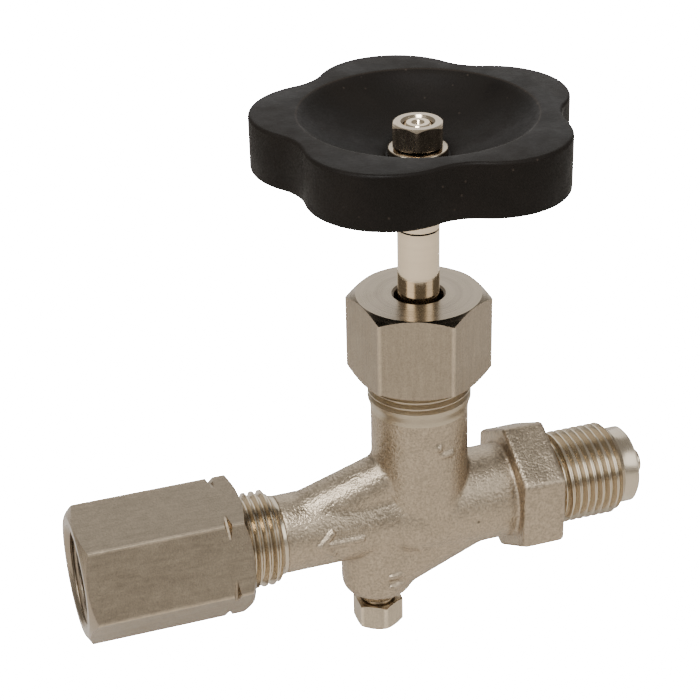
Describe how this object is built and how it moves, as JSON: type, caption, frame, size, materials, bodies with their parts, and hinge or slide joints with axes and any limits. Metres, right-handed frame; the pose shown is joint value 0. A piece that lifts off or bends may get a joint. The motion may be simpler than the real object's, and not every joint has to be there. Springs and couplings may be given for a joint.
{
  "type": "needle valve",
  "caption": "Gauge needle valve: cast steel body with male pipe spigot, hexagon clamping sleeve, packed spindle with bonnet nut, lobed black handwheel and a vent screw.",
  "frame": {"origin": "centre of the inlet spigot's flat sealing face", "axes": "+X along the flow axis, out of the inlet spigot; +Z along the stem, towards the handwheel; +Y is across"},
  "size_m": [0.1313, 0.0655, 0.122],
  "materials": {
    "cast_stainless": "satin",
    "turned_stainless": "polished",
    "milled_stainless": "brushed",
    "black_plastic": "satin",
    "packing_resin": "matte",
    "seal_copper": "satin"
  },
  "bodies": {
    "valve": {"valve_body": "cast_stainless", "bonnet_nut": "milled_stainless", "gland_ring": "turned_stainless", "packing_base_ring": "turned_stainless", "packing_ring_1": "packing_resin", "packing_ring_2": "packing_resin", "packing_ring_3": "packing_resin", "packing_ring_4": "packing_resin"},
    "needle": {"needle_tip": "turned_stainless"},
    "spindle_set": {"spindle": "turned_stainless", "needle_retainer": "turned_stainless", "thrust_ball": "turned_stainless", "hub_bush": "turned_stainless", "handwheel": "black_plastic", "handwheel_washer": "turned_stainless", "handwheel_nut": "milled_stainless"},
    "sleeve_seal": {"sleeve_gasket": "seal_copper"},
    "sleeve": {"clamping_sleeve": "milled_stainless"},
    "vent_seal": {"vent_ball": "turned_stainless"},
    "vent": {"vent_screw": "milled_stainless"}
  },
  "joints": [
    {"name": "stem_lift", "type": "slide", "parent": "valve", "child": "needle", "axis": [0, 0, 1], "range_m": [0, 0.005]},
    {"name": "handwheel_turn", "type": "hinge", "parent": "needle", "child": "spindle_set", "pos_m": [-0.0504, 0, 0.088], "axis": [0, 0, 1], "range_deg": [0, 1800]},
    {"name": "sleeve_advance", "type": "slide", "parent": "valve", "child": "sleeve_seal", "axis": [1, 0, 0], "range_m": [-0.00545, 0.00545]},
    {"name": "sleeve_turn", "type": "hinge", "parent": "sleeve_seal", "child": "sleeve", "pos_m": [-0.1103, 0, 0], "axis": [1, 0, 0], "range_deg": [-1080, 1080]},
    {"name": "vent_travel", "type": "slide", "parent": "valve", "child": "vent_seal", "axis": [0, 0, 1], "range_m": [-0.00375, 0]},
    {"name": "vent_turn", "type": "hinge", "parent": "vent_seal", "child": "vent", "pos_m": [-0.0606, 0, -0.0247], "axis": [0, 0, 1], "range_deg": [-1081, 0]}
  ],
  "couplings": [
    {"joint": "stem_lift", "follows": "handwheel_turn", "m_per_rad": 0.00015915},
    {"joint": "sleeve_advance", "follows": "sleeve_turn", "m_per_rad": -0.00028871},
    {"joint": "vent_turn", "follows": "vent_travel", "rad_per_m": 5026.5}
  ]
}
